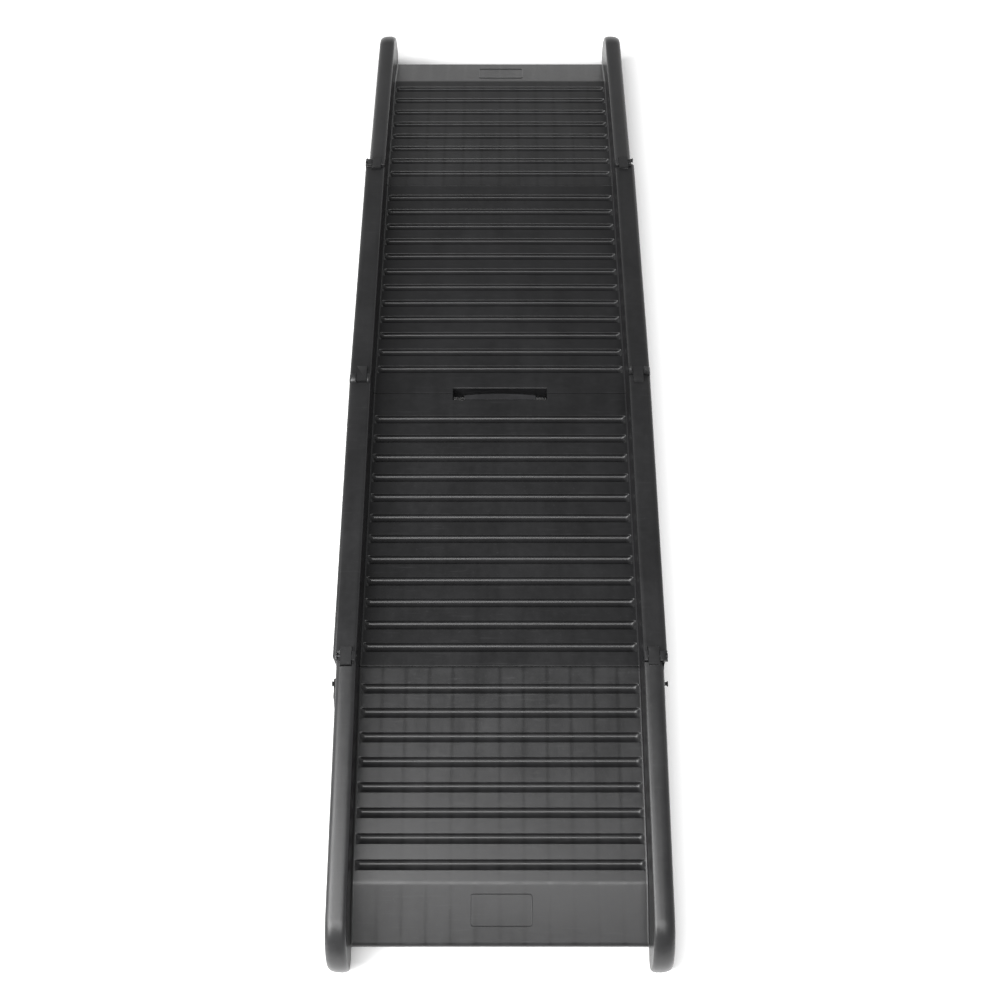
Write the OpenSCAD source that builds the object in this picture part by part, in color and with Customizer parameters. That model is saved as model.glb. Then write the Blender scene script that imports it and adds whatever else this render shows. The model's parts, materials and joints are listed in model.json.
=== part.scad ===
// Folding dog ramp. Four grooved deck sections between side rails, hinged end to end:
// bottom, lower, upper and top, counted from the end that the dog steps on first.
// The ramp stands unfolded on its two ends as a low arch. X runs across it, +Y towards
// its top end and +Z up. The origin is on the floor under the middle of the ramp.

/* [Decks] */
// Width of the walking surface between the side rails
deck_w = 348; // [280:2:420]
// Distance between neighbouring grip grooves
groove_pitch = 30; // [24:0.5:36]
// Number of grip grooves across each middle section
mid_grooves = 12; // [8:1:14]
// Number of grip grooves across each end section
end_grooves = 8; // [6:1:9]
// Middle seam to the first groove
handle_margin = 41.6; // [38:0.1:60]
// Outer seam to the nearest groove of a middle section
mid_margin = 25.6; // [22:0.1:40]
// Outer seam to the nearest groove of an end section
end_margin = 27.6; // [22:0.1:40]
// Last groove of an end section to the bend of its lip
lip_margin = 20.7; // [16:0.1:40]
// Length of the sloping lip beyond the bend
lip_len = 73; // [60:1:90]
// Slope of the lip below its deck, in degrees
lip_angle = 12.9; // [4:0.1:14]
// Thickness of the deck skin
skin_t = 3; // [2:0.1:4]
// Width of a groove at the walking surface
groove_w = 13; // [10:0.5:16]
// Width of the flat bottom of a groove
groove_floor_w = 6; // [4:0.5:8]
// Depth of a groove
groove_d = 5; // [3:0.5:7]
// Groove end to the side rail
groove_inset = 4; // [2:0.5:20]
// Depth of the deck's side walls and of the ribs below it
rib_depth = 22; // [19:0.5:24]
// Thickness of a rib
rib_t = 2.2; // [1.5:0.1:3]
// Number of rib cells across the deck
rib_cells = 12; // [6:1:14]
// Thickness of the deck's side and end walls
wall_t = 3; // [2:0.1:4]
// Length of the blank raised frame on each lip
badge_len = 37; // [20:1:45]
// Width of the blank raised frame
badge_w = 73; // [40:1:120]
// Height of the raised frame
badge_h = 0.6; // [0.3:0.1:1]

/* [Rails] */
// Width of a side rail on the two middle sections
mid_rail_w = 29; // [27:0.5:36]
// Width of a side rail on the two end sections
end_rail_w = 24.5; // [23:0.5:26]
// Height of the rails above the walking surface
rail_top = 44.2; // [36:0.1:60]
// Depth of the rails below the walking surface
rail_drop = 26; // [25:0.5:36]
// Wall of the hollow rails
rail_wall = 3; // [2:0.1:4]
// Solid length at each hinged rail end
rail_end_len = 34; // [33:1:45]
// Distance between the stiffening webs inside a rail
web_pitch = 60; // [30:1:90]
// How far a rail's rounded nose reaches past the bend of the lip
nose_reach = 98.8; // [90:0.1:120]
// Radius of the rounded nose
nose_r = 57; // [46:0.5:57]

/* [Hinges] */
// Camber between the bottom and lower sections, in degrees
camber_low = 6.6; // [2:0.1:7]
// Camber between the two middle sections, in degrees
camber_mid = 5; // [2:0.1:7]
// Camber between the upper and top sections, in degrees
camber_top = 3.9; // [2:0.1:7]
// Gap between neighbouring sections at a seam
seam_gap = 0.8; // [0.6:0.1:2]
// Radius of a steel hinge pin
pin_r = 2.5; // [2:0.1:2.8]
// Radial running clearance of a tongue on its pin
pin_clear = 0.05; // [0.02:0.01:0.1]
// Radius and thickness of a pin's flat head
pin_head = [3.6, 1.5];
// Rail inner face to the blind end of a pin
pin_inset = 2; // [1:0.1:4]
// Rail inner face to the near side of a hinge tongue
tongue_inset = 5.5; // [4.5:0.1:7]
// Width of a hinge tongue
tongue_w = 13.5; // [10:0.1:14]
// Side gap between a tongue and its fork
fork_gap = 0.5; // [0.3:0.1:1]
// How far a tongue reaches past the seam
tongue_reach = 11.5; // [8:0.1:13]
// Radius of a fork's ears about the pin
ear_r = 6.5; // [5:0.1:8]
// How far a fork's ears are let in from the faces of their rail
ear_relief = 0.4; // [0.2:0.1:1]
// Radius of the knuckles of the middle hinge
low_knuckle_r = 9; // [6:0.1:10]
// Air between a knuckle and the rail that it turns in
turn_gap = 1; // [0.6:0.1:2]
// Depth of the middle hinge's steadying tongue below the rail tops
steady_d = 22; // [14:1:26]
// Height of the hinge crowns above the rails
crown_h = 4; // [3.4:0.1:6]
// Rail face to the pin axis: the play that is left when rails fold together
fold_gap = 0.3; // [0.1:0.1:1]

/* [Handle] */
// Width of the slot for the hand at the middle seam
slot_w = 129; // [110:1:160]
// Depth of the slot in the upper deck
slot_upper = 9; // [6:0.5:14]
// Depth of the slot in the lower deck
slot_lower = 10; // [8:0.5:14]
// Width of the grip
grip_w = 98; // [80:1:100]
// Height of the grip bar
grip_h = 16; // [10:0.5:20]
// How far the grip's ends are set back from its arched middle
grip_rise = 3; // [1:0.5:5]
// Length and thickness of the grip's two mounting legs
grip_leg = [18, 6];
// Width of a mounting leg
grip_leg_w = 14; // [10:1:20]

/* [Latch] */
// Seam to the latch studs on the end sections
stud_s = 27.5; // [26:0.1:28]
// Height of the latch studs above the walking surface
stud_z = 26; // [20:0.5:28]
// Radius of a stud's neck
stud_r = 2.2; // [1.8:0.1:3]
// Radius of a stud's flared head
stud_head_r = 3.5; // [3.2:0.1:5]
// Length of a stud's neck and of its head
stud_len = [3.3, 2];
// Radius and depth of a stud's shank in its rail
stud_shank = [3, 9];
// Strap length between the centres of its two eyes
strap_len = 78; // [50:1:82]
// Thickness of the strap
strap_t = 2.4; // [1.5:0.1:2.6]
// Width of the strap's band
strap_w = 9; // [6:0.5:12]
// Radius of the strap's eyes
strap_eye_r = 6.5; // [5:0.5:8]
// Radial clearance of the strap's eye on its stud
strap_clear = 0.08; // [0.02:0.01:0.1]

/* [Feet and screws] */
// Inner end of a foot, measured back from the tip of the nose
foot_len = 44; // [36:1:50]
// Contact line of a foot, measured back from the tip of the nose
foot_back = 15; // [14:0.5:20]
// Thickness of a foot where it meets the floor
foot_t = 2; // [1.5:0.1:4]
// Height of the plug that holds a foot in its rail
plug_h = 7; // [4:0.5:10]
// Length of the plug
plug_len = 22; // [14:1:24]
// Length and thickness of the anti-slip pad below a lip
pad_size = [25, 3];
// Pad edge to the side rail
pad_inset = 22; // [10:1:60]
// Radius of a rail screw's shank
screw_r = 2; // [1.5:0.1:2.4]
// Radius and height of a rail screw's head
screw_head = [3.8, 2];
// Shank length of a rail screw
screw_len = 11; // [8:0.5:14]
// Depth of the rail screws below the walking surface
screw_z = 15; // [13:0.5:17]
// Number of screws along each rail
screw_count = 5; // [2:1:7]
// Clearance between a fixed piece and the hole that takes it
fit_gap = 0.1; // [0.05:0.01:0.3]

/* [Hidden] */

$fn = 48;

// Sections and hinges by number
BOTTOM = 0;
LOWER = 1;
UPPER = 2;
TOP = 3;
LOW_HINGE = 0;
MIDDLE_HINGE = 1;
TOP_HINGE = 2;
LEFT = -1;
RIGHT = 1;

deck_half = deck_w / 2;
mid_len = handle_margin + (mid_grooves - 1) * groove_pitch + mid_margin;
bend_s = end_margin + (end_grooves - 1) * groove_pitch + lip_margin;
nose_s = bend_s + nose_reach;
nose_low_r = rail_top - nose_r + rail_drop;
foot_s = nose_s - foot_back;
axis_top = rail_top + fold_gap;
axis_low = -rail_drop - fold_gap;
crown_z = rail_top + crown_h;
tongue_x = deck_half + tongue_inset;
reach = 600;

// A point in the YZ plane, turned about X
function turned(p, a) = [p.x * cos(a) - p.y * sin(a), p.x * sin(a) + p.y * cos(a)];

// The arch: each section's tilt follows from the cambers, and the whole arch is turned
// until the feet at both ends stand on one level floor.
bottom_foot_raw = turned([-mid_len, 0], camber_mid)
    + turned([-foot_s, -rail_drop - foot_t], camber_mid + camber_low);
top_foot_raw = [mid_len, 0] + turned([foot_s, -rail_drop - foot_t], -camber_top);
foot_span = top_foot_raw - bottom_foot_raw;
base_tilt = -atan2(foot_span.y, foot_span.x);
tilt = [base_tilt + camber_mid + camber_low, base_tilt + camber_mid, base_tilt,
    base_tilt - camber_top];
away = [-1, -1, 1, 1];
nose_centre = [nose_s - nose_r, rail_top - nose_r];
low_raw = turned([-mid_len, 0], tilt[LOWER]);
high_raw = turned([mid_len, 0], tilt[UPPER]);
y_min = low_raw.x + turned([-nose_centre.x, nose_centre.y], tilt[BOTTOM]).x - nose_r;
y_max = high_raw.x + turned(nose_centre, tilt[TOP]).x + nose_r;
floor_drop = turned(bottom_foot_raw, base_tilt).y;
middle = [-(y_min + y_max) / 2, -floor_drop];
origin = [middle + low_raw, middle, middle, middle + high_raw];
hinge_origin = [origin[BOTTOM], middle, origin[TOP]];
hinge_tilt = [(tilt[BOTTOM] + tilt[LOWER]) / 2, (tilt[LOWER] + tilt[UPPER]) / 2,
    (tilt[UPPER] + tilt[TOP]) / 2];
stud_at = origin[BOTTOM] + turned([-stud_s, stud_z], tilt[BOTTOM]);

// Outer face of the rails of a section
function rail_out(section) =
    deck_half + (section == LOWER || section == UPPER ? mid_rail_w : end_rail_w);
// Hinges that a section meets, and the side of each hinge that it is on
function hinges_of(section) = section == BOTTOM ? [LOW_HINGE]
    : section == LOWER ? [LOW_HINGE, MIDDLE_HINGE]
    : section == UPPER ? [MIDDLE_HINGE, TOP_HINGE] : [TOP_HINGE];
function hinge_side(section, hinge) = section <= hinge ? -1 : 1;
// On the left the section above a hinge has the tongue, on the right the one below
function has_tongue(section, hinge, side) = hinge_side(section, hinge) == -side;
function screw_at(count, length, i) = rail_end_len + 14
    + (length - 2 * rail_end_len - 28) * i / (count - 1);
function section_len(section) =
    section == LOWER || section == UPPER ? mid_len : bend_s + 20;

// Places a section: its local Y runs from the seam nearer the middle of the ramp outwards
module at_section(section) {
    translate([0, origin[section].x, origin[section].y])
        rotate([tilt[section], 0, 0])
            mirror([0, away[section] < 0 ? 1 : 0, 0])
                children();
}

// Places a hinge: its local Y runs up the ramp, and its XZ plane halves the camber
module at_hinge(hinge) {
    translate([0, hinge_origin[hinge].x, hinge_origin[hinge].y])
        rotate([hinge_tilt[hinge], 0, 0])
            children();
}

module at_lip() {
    translate([0, bend_s, 0])
        rotate([-lip_angle, 0, 0])
            children();
}

module on_side(side) {
    mirror([side < 0 ? 1 : 0, 0, 0])
        children();
}

// Box between two corners
module span(low, high) {
    translate(low)
        cube(high - low);
}

// Cylinder along X, centred on the given Y and Z
module rod(x0, x1, y, z, r) {
    translate([x0, y, z])
        rotate([0, 90, 0])
            cylinder(h = x1 - x0, r = r);
}

// Everything past the seam of a hinge, on the side that a section is not on
module past_seam(section, hinge) {
    at_hinge(hinge)
        if (hinge_side(section, hinge) > 0)
            span([-reach, -reach, -reach], [reach, seam_gap / 2, reach]);
        else
            span([-reach, -seam_gap / 2, -reach], [reach, reach, reach]);
}

// ---- Decks ----

module groove_cut(y) {
    translate([-deck_half + groove_inset, y, 0])
        rotate([90, 0, 90])
            linear_extrude(height = deck_w - 2 * groove_inset)
                polygon([[-groove_w / 2, 0], [-groove_w / 2, 1], [groove_w / 2, 1],
                    [groove_w / 2, 0], [groove_floor_w / 2, -groove_d],
                    [-groove_floor_w / 2, -groove_d]]);
}

// Skin, walls and ribs from y0 to y1
module deck_slab(y0, y1, depth) {
    span([-deck_half, y0, -skin_t], [deck_half, y1, 0]);
    for (side = [LEFT, RIGHT])
        on_side(side)
            span([deck_half - wall_t, y0, -depth], [deck_half, y1, -skin_t / 2]);
    for (i = [1:rib_cells - 1])
        translate([-deck_half + i * deck_w / rib_cells, 0, 0])
            span([-rib_t / 2, y0, -depth], [rib_t / 2, y1, -skin_t / 2]);
}

module end_wall(y0) {
    span([-deck_half, y0, -rib_depth], [deck_half, y0 + wall_t + 3, -skin_t / 2]);
}

module grooved_slab(length, first, count) {
    difference() {
        union() {
            deck_slab(-3, length, rib_depth);
            for (i = [0:count - 1])
                span([-deck_half, first + i * groove_pitch - groove_w / 2 - skin_t,
                    -groove_d - skin_t],
                    [deck_half, first + i * groove_pitch + groove_w / 2 + skin_t, -skin_t / 2]);
        }
        for (i = [0:count - 1])
            groove_cut(first + i * groove_pitch);
    }
}

module rail_screw_holes(section) {
    for (side = [LEFT, RIGHT], i = [0:screw_count - 1])
        on_side(side)
            rod(deck_half - wall_t - 1, deck_half + screw_len,
                screw_at(screw_count, section_len(section), i), -screw_z, screw_r + fit_gap);
}

// Side view of a lip: it slopes down from the bend, as thick as the deck skin
module lip_side() {
    bend = [bend_s, 0];
    inner = bend - skin_t * [tan(lip_angle / 2), 1];
    far = bend + turned([lip_len, 0], -lip_angle);
    polygon([bend - [10, 0], bend, far, far - turned([0, skin_t], -lip_angle),
        inner, [bend_s - 10, -skin_t]]);
}

module end_deck(section) {
    difference() {
        at_section(section) {
            grooved_slab(bend_s - 5, end_margin, end_grooves);
            end_wall(-3);
            across(-deck_half, deck_half)
                lip_side();
            at_lip() {
                for (i = [1:rib_cells - 1])
                    translate([-deck_half + i * deck_w / rib_cells, 0, 0])
                        span([-rib_t / 2 + 0.2, -5, -skin_t - 4],
                            [rib_t / 2 - 0.2, lip_len - pad_size[0] - 6, -skin_t / 2 - 1]);
                lip_badge();
            }
        }
        past_seam(section, hinges_of(section)[0]);
        at_section(section)
            rail_screw_holes(section);
    }
}

// Blank raised frame in the middle of the lip
module lip_badge() {
    line = 1.2;
    translate([0, lip_len * 0.17, 0])
        difference() {
            span([-badge_w / 2, 0, -1], [badge_w / 2, badge_len, badge_h]);
            span([-badge_w / 2 + line, line, 0], [badge_w / 2 - line, badge_len - line, 1]);
        }
}

module mid_deck(section) {
    slot_depth = section == UPPER ? slot_upper : slot_lower;
    difference() {
        at_section(section) {
            grooved_slab(mid_len + 3, handle_margin, mid_grooves);
            end_wall(-3);
            end_wall(mid_len - wall_t);
            span([-slot_w / 2 - wall_t, 0, -rib_depth],
                [slot_w / 2 + wall_t, slot_depth + wall_t, -skin_t / 2]);
        }
        for (hinge = hinges_of(section))
            past_seam(section, hinge);
        at_section(section) {
            span([-slot_w / 2, -5, -rib_depth - 1], [slot_w / 2, slot_depth, 1]);
            if (section == LOWER)
                grip_seat();
            rail_screw_holes(section);
        }
    }
}

module bottom_deck() {
    color([0.09, 0.09, 0.095])
        end_deck(BOTTOM);
}

module lower_deck() {
    color([0.08, 0.08, 0.085])
        mid_deck(LOWER);
}

module upper_deck() {
    color([0.08, 0.08, 0.085])
        mid_deck(UPPER);
}

module top_deck() {
    color([0.09, 0.09, 0.095])
        end_deck(TOP);
}

// ---- Rails ----

// Points of an arc, one every three degrees
function arc(centre, r, from, to) = [for (i = [0:ceil(abs(to - from) / 3)])
    let (a = from + (to - from) * i / ceil(abs(to - from) / 3))
        centre + r * [cos(a), sin(a)]];

// Side view of an end rail: straight to the nose, which is a large arc over a small one
module nose_side() {
    polygon(concat([[-5, -rail_drop]],
        arc([nose_s - nose_low_r, nose_low_r - rail_drop], nose_low_r, -90, 0),
        arc(nose_centre, nose_r, 3, 90),
        [[-5, rail_top]]));
}

// Extrudes a side view across the width of a rail
module across(x0, x1) {
    translate([x0, 0, 0])
        rotate([90, 0, 90])
            linear_extrude(height = x1 - x0)
                children();
}

// Hollow of a rail, open below and crossed by webs
module rail_hollow(x0, x1, y0, y1, top) {
    webs = floor((y1 - y0) / web_pitch);
    cell = (y1 - y0 - webs * rib_t) / (webs + 1);
    for (i = [0:webs])
        span([x0, y0 + i * (cell + rib_t), -rail_drop - 1],
            [x1, y0 + i * (cell + rib_t) + cell, top]);
}

module rail_shell(section) {
    x0 = deck_half;
    x1 = rail_out(section);
    hollow_top = rail_top - rail_wall;
    difference() {
        if (section == LOWER || section == UPPER)
            span([x0, -5, -rail_drop], [x1, mid_len + 5, rail_top]);
        else
            across(x0, x1)
                nose_side();
        if (section == LOWER || section == UPPER)
            rail_hollow(x0 + rail_wall, x1 - rail_wall, rail_end_len,
                mid_len - rail_end_len, hollow_top);
        else {
            rail_hollow(x0 + rail_wall, x1 - rail_wall, rail_end_len, nose_s - foot_len - rib_t,
                hollow_top);
            span([x0 + rail_wall, nose_s - foot_len, -rail_drop - 1],
                [x1 - rail_wall, nose_s - foot_len + plug_len + 2, nose_centre.y + nose_r * 0.6]);
        }
    }
    for (i = [0:screw_count - 1])
        rod(x0 + 1, x0 + screw_len + 2, screw_at(screw_count, section_len(section), i),
            -screw_z, screw_r + 3);
}

// Tongue or ears of a hinge, about its pin
module knuckle(hinge, x0, x1, r) {
    if (hinge == MIDDLE_HINGE)
        rod(x0, x1, 0, axis_low, low_knuckle_r);
    else
        intersection() {
            rod(x0, x1, 0, axis_top, r);
            span([x0, -reach, -reach], [x1, reach, crown_z]);
        }
}

// Square tongue at rail height that steadies the middle hinge, or its crown on a fork
module steady(x0, x1, y0, y1) {
    span([x0, min(y0, y1), rail_top - steady_d], [x1, max(y0, y1), crown_z]);
}

module hinge_end(section, hinge, side) {
    x_end = rail_out(section);
    y_own = hinge_side(section, hinge);
    tongue = has_tongue(section, hinge, side);
    at_hinge(hinge)
        on_side(side)
            if (tongue) {
                knuckle(hinge, tongue_x, tongue_x + tongue_w, tongue_reach);
                if (hinge == MIDDLE_HINGE)
                    steady(tongue_x, tongue_x + tongue_w, -y_own * tongue_reach,
                        y_own * tongue_reach);
            } else {
                for (x = [[deck_half + ear_relief, tongue_x - fork_gap],
                        [tongue_x + tongue_w + fork_gap, x_end - ear_relief]]) {
                    knuckle(hinge, x[0], x[1], ear_r);
                    if (hinge == MIDDLE_HINGE)
                        steady(x[0], x[1], y_own * seam_gap / 2, y_own * tongue_reach);
                }
            }
}

// Room for the other rail's knuckles, the pin's bore and its head
module hinge_room(section, hinge, side) {
    y_own = hinge_side(section, hinge);
    tongue = has_tongue(section, hinge, side);
    z = hinge == MIDDLE_HINGE ? axis_low : axis_top;
    ears_out = deck_half + max(mid_rail_w, end_rail_w);
    at_hinge(hinge)
        on_side(side)
            if (tongue) {
                mate_r = (hinge == MIDDLE_HINGE ? low_knuckle_r : ear_r) + turn_gap;
                rod(deck_half - 1, tongue_x - fork_gap / 2, 0, z, mate_r);
                rod(tongue_x + tongue_w + fork_gap / 2,
                    fork_out(hinge, side) + fork_gap, 0, z, mate_r);
                rod(tongue_x - 1, tongue_x + tongue_w + 1, 0, z, pin_r + pin_clear);
            } else {
                mate_r = (hinge == MIDDLE_HINGE ? low_knuckle_r : tongue_reach) + turn_gap;
                rod(tongue_x - fork_gap, tongue_x + tongue_w + fork_gap, 0, z, mate_r);
                if (hinge == MIDDLE_HINGE)
                    span([tongue_x - fork_gap, min(-y_own, y_own * (tongue_reach + turn_gap)),
                        rail_top - steady_d - turn_gap],
                        [tongue_x + tongue_w + fork_gap,
                        max(-y_own, y_own * (tongue_reach + turn_gap)), crown_z + 1]);
                rod(deck_half + pin_inset, ears_out + 1, 0, z, pin_r);
                rod(fork_out(hinge, side) - pin_head[1], ears_out + 1, 0, z,
                    pin_head[0] + fit_gap);
            }
}

// Outer face of the fork at a hinge
function fork_out(hinge, side) =
    rail_out(has_tongue(hinge, hinge, side) ? hinge + 1 : hinge) - ear_relief;

module rail(section, side) {
    difference() {
        union() {
            difference() {
                at_section(section)
                    on_side(side)
                        rail_shell(section);
                for (hinge = hinges_of(section))
                    past_seam(section, hinge);
            }
            for (hinge = hinges_of(section))
                hinge_end(section, hinge, side);
        }
        for (hinge = hinges_of(section))
            hinge_room(section, hinge, side);
        at_section(section) {
            rail_screw_holes(section);
            if (section == BOTTOM || section == TOP)
                on_side(side)
                    rod(rail_out(section) - stud_shank[1], rail_out(section) + 1, stud_s, stud_z,
                        stud_shank[0] + fit_gap);
        }
    }
}

module bottom_rail_left() {
    color([0.12, 0.12, 0.125])
        rail(BOTTOM, LEFT);
}

module bottom_rail_right() {
    color([0.12, 0.12, 0.125])
        rail(BOTTOM, RIGHT);
}

module lower_rail_left() {
    color([0.1, 0.1, 0.105])
        rail(LOWER, LEFT);
}

module lower_rail_right() {
    color([0.1, 0.1, 0.105])
        rail(LOWER, RIGHT);
}

module upper_rail_left() {
    color([0.1, 0.1, 0.105])
        rail(UPPER, LEFT);
}

module upper_rail_right() {
    color([0.1, 0.1, 0.105])
        rail(UPPER, RIGHT);
}

module top_rail_left() {
    color([0.12, 0.12, 0.125])
        rail(TOP, LEFT);
}

module top_rail_right() {
    color([0.12, 0.12, 0.125])
        rail(TOP, RIGHT);
}

// ---- Hinge pins ----

// A steel pin, pressed into both ears of a fork, with its flat head let into the outer ear
module hinge_pin(hinge, side) {
    x_out = fork_out(hinge, side);
    z = hinge == MIDDLE_HINGE ? axis_low : axis_top;
    color([0.62, 0.63, 0.65])
        at_hinge(hinge)
            on_side(side) {
                rod(deck_half + pin_inset, x_out - pin_head[1] / 2, 0, z, pin_r);
                rod(x_out - pin_head[1], x_out, 0, z, pin_head[0]);
            }
}

module low_hinge_pin_left() {
    hinge_pin(LOW_HINGE, LEFT);
}

module low_hinge_pin_right() {
    hinge_pin(LOW_HINGE, RIGHT);
}

module middle_hinge_pin_left() {
    hinge_pin(MIDDLE_HINGE, LEFT);
}

module middle_hinge_pin_right() {
    hinge_pin(MIDDLE_HINGE, RIGHT);
}

module top_hinge_pin_left() {
    hinge_pin(TOP_HINGE, LEFT);
}

module top_hinge_pin_right() {
    hinge_pin(TOP_HINGE, RIGHT);
}

// ---- Rail screws ----

// Driven from inside the deck's outer rib cells through both walls into the rail's bosses
module rail_screws(section) {
    color([0.55, 0.56, 0.58])
        at_section(section)
            for (side = [LEFT, RIGHT], i = [0:screw_count - 1])
                on_side(side) {
                    y = screw_at(screw_count, section_len(section), i);
                    rod(deck_half - wall_t - screw_head[1], deck_half - wall_t, y, -screw_z,
                        screw_head[0]);
                    rod(deck_half - wall_t - 0.5, deck_half - wall_t + screw_len, y, -screw_z,
                        screw_r);
                }
}

module bottom_rail_screws() {
    rail_screws(BOTTOM);
}

module lower_rail_screws() {
    rail_screws(LOWER);
}

module upper_rail_screws() {
    rail_screws(UPPER);
}

module top_rail_screws() {
    rail_screws(TOP);
}

// ---- Handle ----

// Two legs of the grip, below the skin of the lower deck
module grip_legs(gap) {
    for (side = [LEFT, RIGHT])
        on_side(side)
            translate([grip_w / 2 - grip_leg_w - 4, 0, 0])
                span([-gap, slot_lower - 2, -skin_t - grip_leg[1] - gap],
                    [grip_leg_w + gap, slot_lower + grip_leg[0] + gap, -skin_t]);
}

function grip_screw_at(side) =
    [side * (grip_w / 2 - 4 - grip_leg_w / 2), slot_lower + grip_leg[0] - 7];

// Clears the ribs from the legs of the grip and leaves holes for its screws
module grip_seat() {
    grip_legs(fit_gap * 2);
    span([-slot_w / 2, slot_lower + wall_t, -rib_depth - 1],
        [slot_w / 2, slot_lower + grip_leg[0] + 4, -skin_t]);
    for (side = [LEFT, RIGHT])
        translate([grip_screw_at(side).x, grip_screw_at(side).y, -skin_t - 1])
            cylinder(h = 2.8, r = screw_r - 0.4 + fit_gap);
}

// Bar of the grip, whose front edge is a shallow arch
module grip_bar() {
    arch_r = (grip_w * grip_w / 4 + grip_rise * grip_rise) / (2 * grip_rise);
    translate([0, 0, -grip_h])
        linear_extrude(height = grip_h)
            intersection() {
                translate([-grip_w / 2, seam_gap])
                    square([grip_w, slot_lower - seam_gap]);
                translate([0, arch_r + seam_gap])
                    circle(r = arch_r, $fn = 180);
            }
}

module carry_grip() {
    color([0.11, 0.11, 0.115])
        at_section(LOWER)
            difference() {
                union() {
                    grip_bar();
                    grip_legs(0);
                }
                for (side = [LEFT, RIGHT])
                    translate([grip_screw_at(side).x, grip_screw_at(side).y, -rib_depth])
                        cylinder(h = rib_depth, r = screw_r - 0.4 + fit_gap);
            }
}

module grip_screws() {
    leg_low = -skin_t - grip_leg[1];
    color([0.55, 0.56, 0.58])
        at_section(LOWER)
            for (side = [LEFT, RIGHT])
                translate([grip_screw_at(side).x, grip_screw_at(side).y, leg_low]) {
                    translate([0, 0, -screw_head[1]])
                        cylinder(h = screw_head[1], r = screw_head[0]);
                    translate([0, 0, -0.5])
                        cylinder(h = grip_leg[1] + 2, r = screw_r - 0.4);
                }
}

// ---- Feet and pads ----

// Rubber foot under a nose. Its sole is cut level with the floor.
module foot(section, side) {
    slope = tan(abs(tilt[section]));
    back = nose_s - foot_len;
    front = nose_s - nose_low_r;
    sole = -rail_drop - foot_t;
    color([0.03, 0.03, 0.03])
        at_section(section)
            on_side(side) {
                across(deck_half + 1, rail_out(section) - 1)
                    polygon([[back, -rail_drop], [front, -rail_drop],
                        [front, sole + (front - foot_s) * slope],
                        [back, sole + (back - foot_s) * slope]]);
                span([deck_half + rail_wall + fit_gap, back + fit_gap, -rail_drop - foot_t / 2],
                    [rail_out(section) - rail_wall - fit_gap, back + plug_len,
                    -rail_drop + plug_h]);
            }
}

module bottom_foot_left() {
    foot(BOTTOM, LEFT);
}

module bottom_foot_right() {
    foot(BOTTOM, RIGHT);
}

module top_foot_left() {
    foot(TOP, LEFT);
}

module top_foot_right() {
    foot(TOP, RIGHT);
}

module lip_pad(section) {
    under = -skin_t;
    color([0.03, 0.03, 0.03])
        at_section(section)
            at_lip()
                span([-deck_half + pad_inset, lip_len - pad_size[0] - 3, under - pad_size[1]],
                    [deck_half - pad_inset, lip_len - 3, under]);
}

module bottom_lip_pad() {
    lip_pad(BOTTOM);
}

module top_lip_pad() {
    lip_pad(TOP);
}

// ---- Latch ----

// Push-in studs on both sides of an end section, each with a neck and a flared head
module latch_studs(section) {
    x0 = rail_out(section);
    color([0.05, 0.05, 0.05])
        at_section(section)
            for (side = [LEFT, RIGHT])
                on_side(side) {
                    rod(x0 - stud_shank[1] + 1, x0, stud_s, stud_z, stud_shank[0]);
                    rod(x0 - 1, x0 + stud_len[0], stud_s, stud_z, stud_r);
                    translate([x0 + stud_len[0], stud_s, stud_z])
                        rotate([0, 90, 0])
                            cylinder(h = stud_len[1], r1 = stud_r, r2 = stud_head_r);
                }
}

module bottom_latch_studs() {
    latch_studs(BOTTOM);
}

module top_latch_studs() {
    latch_studs(TOP);
}

// Rubber strap that hangs from the left stud of the bottom section by its upper eye
module latch_strap() {
    x1 = -rail_out(BOTTOM) - (stud_len[0] - strap_t) / 2;
    color([0.03, 0.03, 0.03])
        translate([0, stud_at.x, stud_at.y])
            difference() {
                union() {
                    for (z = [0, -strap_len])
                        rod(x1 - strap_t, x1, 0, z, strap_eye_r);
                    span([x1 - strap_t, -strap_w / 2, -strap_len], [x1, strap_w / 2, 0]);
                }
                rod(x1 - strap_t - 1, x1 + 1, 0, 0, stud_r + strap_clear);
                rod(x1 - strap_t - 1, x1 + 1, 0, -strap_len, stud_r + strap_clear);
            }
}

bottom_deck();
lower_deck();
upper_deck();
top_deck();
bottom_rail_left();
bottom_rail_right();
lower_rail_left();
lower_rail_right();
upper_rail_left();
upper_rail_right();
top_rail_left();
top_rail_right();
low_hinge_pin_left();
low_hinge_pin_right();
middle_hinge_pin_left();
middle_hinge_pin_right();
top_hinge_pin_left();
top_hinge_pin_right();
bottom_rail_screws();
lower_rail_screws();
upper_rail_screws();
top_rail_screws();
carry_grip();
grip_screws();
bottom_foot_left();
bottom_foot_right();
top_foot_left();
top_foot_right();
bottom_lip_pad();
top_lip_pad();
bottom_latch_studs();
top_latch_studs();
latch_strap();
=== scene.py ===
import json
import math

import bmesh
import bpy
from mathutils import Matrix, Vector


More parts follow.
